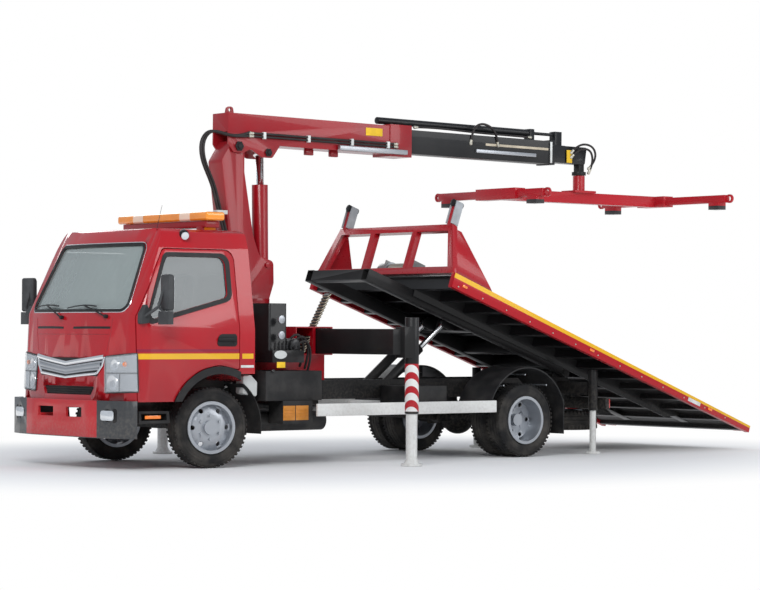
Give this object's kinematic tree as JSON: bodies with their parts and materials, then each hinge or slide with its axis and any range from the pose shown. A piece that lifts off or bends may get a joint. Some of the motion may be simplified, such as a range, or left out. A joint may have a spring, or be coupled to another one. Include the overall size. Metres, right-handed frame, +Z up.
{
  "type": "tow truck",
  "caption": "Cab-over recovery truck with a sliding, tilting flat bed, side outriggers and a loader crane that carries a car-lifting spreader frame.",
  "frame": {"origin": "on the ground below the middle of the whole machine as stored", "axes": "+X towards the truck's tail, +Y towards its right-hand side, +Z up"},
  "size_m": [8.305, 3.61, 3.5029],
  "materials": {
    "cab_paint": "gloss",
    "crane_paint": "gloss",
    "chassis_black": "satin",
    "bed_black": "satin",
    "white_paint": "gloss",
    "guard_white": "satin",
    "bumper_paint": "gloss",
    "tyre_rubber": "matte",
    "wheel_silver": "satin",
    "chrome_bar": "polished",
    "lamp_clear": "polished",
    "tinted_glass": "polished",
    "black_plastic": "satin",
    "seat_fabric": "matte",
    "amber_lens": "gloss",
    "red_lens": "gloss",
    "box_grey": "satin",
    "engine_iron": "matte",
    "rod_steel": "polished",
    "winch_grey": "satin"
  },
  "bodies": {
    "chassis": {"chassis_frame": "chassis_black", "front_axle": "chassis_black", "rear_axle": "chassis_black", "engine_block": "engine_iron", "front_bumper": "bumper_paint", "side_boxes": "box_grey", "side_guards": "guard_white", "rear_fenders": "black_plastic", "rear_bar": "chassis_black", "rear_lamps": "red_lens", "spare_wheel": "tyre_rubber", "spare_rim": "wheel_silver", "crane_base": "crane_paint", "control_tank": "box_grey"},
    "cab": {"cab_shell": "cab_paint", "cab_glass": "tinted_glass", "cab_trim": "black_plastic", "grille": "chrome_bar", "headlamps": "lamp_clear", "cab_interior": "seat_fabric", "light_bar": "amber_lens"},
    "door_left": {"door_left": "cab_paint", "door_glass_left": "tinted_glass", "mirror_left": "black_plastic"},
    "door_right": {"door_right": "cab_paint", "door_glass_right": "tinted_glass", "mirror_right": "black_plastic"},
    "knuckle_left": {"knuckle_left": "chassis_black"},
    "knuckle_right": {"knuckle_right": "chassis_black"},
    "front_wheel_left": {"front_tyre_left": "tyre_rubber", "front_rim_left": "wheel_silver"},
    "front_wheel_right": {"front_tyre_right": "tyre_rubber", "front_rim_right": "wheel_silver"},
    "rear_wheels_left": {"rear_tyres_left": "tyre_rubber", "rear_rims_left": "wheel_silver"},
    "rear_wheels_right": {"rear_tyres_right": "tyre_rubber", "rear_rims_right": "wheel_silver"},
    "outrigger_beam_left": {"outrigger_beam_left": "bed_black"},
    "outrigger_beam_right": {"outrigger_beam_right": "bed_black"},
    "outrigger_leg_left": {"outrigger_leg_left": "white_paint"},
    "outrigger_leg_right": {"outrigger_leg_right": "white_paint"},
    "rear_leg_left": {"rear_leg_left": "white_paint"},
    "rear_leg_right": {"rear_leg_right": "white_paint"},
    "crane_column": {"crane_column": "crane_paint"},
    "lift_barrel": {"lift_barrel": "crane_paint"},
    "lift_rod": {"lift_rod": "rod_steel"},
    "main_boom": {"main_boom": "crane_paint"},
    "boom_inner": {"boom_inner": "bed_black"},
    "boom_tip": {"boom_tip": "bed_black"},
    "link": {"link": "crane_paint"},
    "spreader": {"spreader_frame": "crane_paint"},
    "tilt_frame": {"tilt_frame": "bed_black"},
    "tilt_barrels": {"tilt_barrels": "chassis_black"},
    "tilt_rods": {"tilt_rods": "rod_steel"},
    "bed": {"bed_deck": "bed_black", "headboard": "crane_paint", "winch_frame": "winch_grey"},
    "winch_drum": {"winch_drum": "rod_steel"}
  },
  "joints": [
    {"name": "cab_tilt", "type": "hinge", "parent": "chassis", "child": "cab", "pos_m": [-3.95247, 0, 0.66], "axis": [0, -1, 0], "range_deg": [0, 45]},
    {"name": "door_left", "type": "hinge", "parent": "cab", "child": "door_left", "pos_m": [-3.92747, -0.952, 1.2], "axis": [0, 0, -1], "range_deg": [0, 70]},
    {"name": "door_right", "type": "hinge", "parent": "cab", "child": "door_right", "pos_m": [-3.92747, 0.952, 1.2], "axis": [0, 0, 1], "range_deg": [0, 70]},
    {"name": "steer_left", "type": "hinge", "parent": "chassis", "child": "knuckle_left", "pos_m": [-3.02247, -0.64, 0.38], "axis": [0, 0, 1], "range_deg": [-25, 45]},
    {"name": "front_wheel_left", "type": "hinge", "parent": "knuckle_left", "child": "front_wheel_left", "pos_m": [-3.05581, -0.82908, 0.38], "axis": [0.1736, 0.9848, 0], "continuous": true},
    {"name": "rear_wheels_left", "type": "hinge", "parent": "chassis", "child": "rear_wheels_left", "pos_m": [0.82753, -0.832, 0.38], "axis": [0, 1, 0], "continuous": true},
    {"name": "outrigger_beam_left", "type": "slide", "parent": "chassis", "child": "outrigger_beam_left", "axis": [0, -1, 0], "range_m": [-0.45, 0]},
    {"name": "outrigger_leg_left", "type": "slide", "parent": "outrigger_beam_left", "child": "outrigger_leg_left", "axis": [0, 0, -1], "range_m": [-0.425, 0]},
    {"name": "rear_leg_left", "type": "slide", "parent": "chassis", "child": "rear_leg_left", "axis": [0, 0, -1], "range_m": [-0.3, 0]},
    {"name": "steer_right", "type": "hinge", "parent": "chassis", "child": "knuckle_right", "pos_m": [-3.02247, 0.64, 0.38], "axis": [0, 0, 1], "range_deg": [-25, 45]},
    {"name": "front_wheel_right", "type": "hinge", "parent": "knuckle_right", "child": "front_wheel_right", "pos_m": [-2.98913, 0.82908, 0.38], "axis": [0.1736, 0.9848, 0], "continuous": true},
    {"name": "rear_wheels_right", "type": "hinge", "parent": "chassis", "child": "rear_wheels_right", "pos_m": [0.82753, 0.832, 0.38], "axis": [0, 1, 0], "continuous": true},
    {"name": "outrigger_beam_right", "type": "slide", "parent": "chassis", "child": "outrigger_beam_right", "axis": [0, 1, 0], "range_m": [-0.45, 0]},
    {"name": "outrigger_leg_right", "type": "slide", "parent": "outrigger_beam_right", "child": "outrigger_leg_right", "axis": [0, 0, -1], "range_m": [-0.425, 0]},
    {"name": "rear_leg_right", "type": "slide", "parent": "chassis", "child": "rear_leg_right", "axis": [0, 0, -1], "range_m": [-0.3, 0]},
    {"name": "crane_slew", "type": "hinge", "parent": "chassis", "child": "crane_column", "pos_m": [-1.95247, 0, 1.545], "axis": [0, 0, 1], "range_deg": [-180, 180]},
    {"name": "boom_lift", "type": "hinge", "parent": "crane_column", "child": "main_boom", "pos_m": [-2.18247, 0, 3.099], "axis": [0, -1, 0], "range_deg": [-8, 60]},
    {"name": "lift_barrel_turn", "type": "hinge", "parent": "crane_column", "child": "lift_barrel", "pos_m": [-1.80747, 0, 1.938], "axis": [0, -1, 0], "range_deg": [-0.51, 3.85]},
    {"name": "lift_rod_stroke", "type": "slide", "parent": "lift_barrel", "child": "lift_rod", "axis": [-0.0134, 0, 0.9999], "range_m": [-0.04772, 0.35794]},
    {"name": "boom_extend_1", "type": "slide", "parent": "main_boom", "child": "boom_inner", "axis": [1, 0, -0.007], "range_m": [-1.76, 0]},
    {"name": "boom_extend_2", "type": "slide", "parent": "boom_inner", "child": "boom_tip", "axis": [1, 0, -0.007], "range_m": [0, 1.6]},
    {"name": "link_swing", "type": "hinge", "parent": "boom_tip", "child": "link", "pos_m": [2.6084, 0, 3.18956], "axis": [0, 1, 0], "range_deg": [-8, 12]},
    {"name": "spreader_turn", "type": "hinge", "parent": "link", "child": "spreader", "pos_m": [2.6084, 0, 3.02156], "axis": [0, 0, 1], "continuous": true},
    {"name": "bed_tilt", "type": "hinge", "parent": "chassis", "child": "tilt_frame", "pos_m": [1.92753, 0, 0.858], "axis": [0, 1, 0], "range_deg": [-19.4, 2.8]},
    {"name": "tilt_barrels_turn", "type": "hinge", "parent": "chassis", "child": "tilt_barrels", "pos_m": [-0.37247, 0, 0.7], "axis": [0, 1, 0], "range_deg": [-3.35, 23.24]},
    {"name": "tilt_rods_stroke", "type": "slide", "parent": "tilt_barrels", "child": "tilt_rods", "axis": [0.7875, 0, 0.6164], "range_m": [-0.34406, 0.04966]},
    {"name": "bed_slide", "type": "slide", "parent": "tilt_frame", "child": "bed", "axis": [0.9432, 0, -0.3322], "range_m": [-0.6, 0.18]},
    {"name": "winch_drum", "type": "hinge", "parent": "bed", "child": "winch_drum", "pos_m": [0.06095, 0, 1.9129], "axis": [0, 1, 0], "continuous": true}
  ],
  "couplings": [
    {"joint": "steer_right", "follows": "steer_left", "ratio": 1},
    {"joint": "lift_barrel_turn", "follows": "boom_lift", "ratio": 0.064095},
    {"joint": "lift_rod_stroke", "follows": "boom_lift", "m_per_rad": 0.34177},
    {"joint": "tilt_barrels_turn", "follows": "bed_tilt", "ratio": -1.1976},
    {"joint": "tilt_rods_stroke", "follows": "bed_tilt", "m_per_rad": 1.0161}
  ]
}
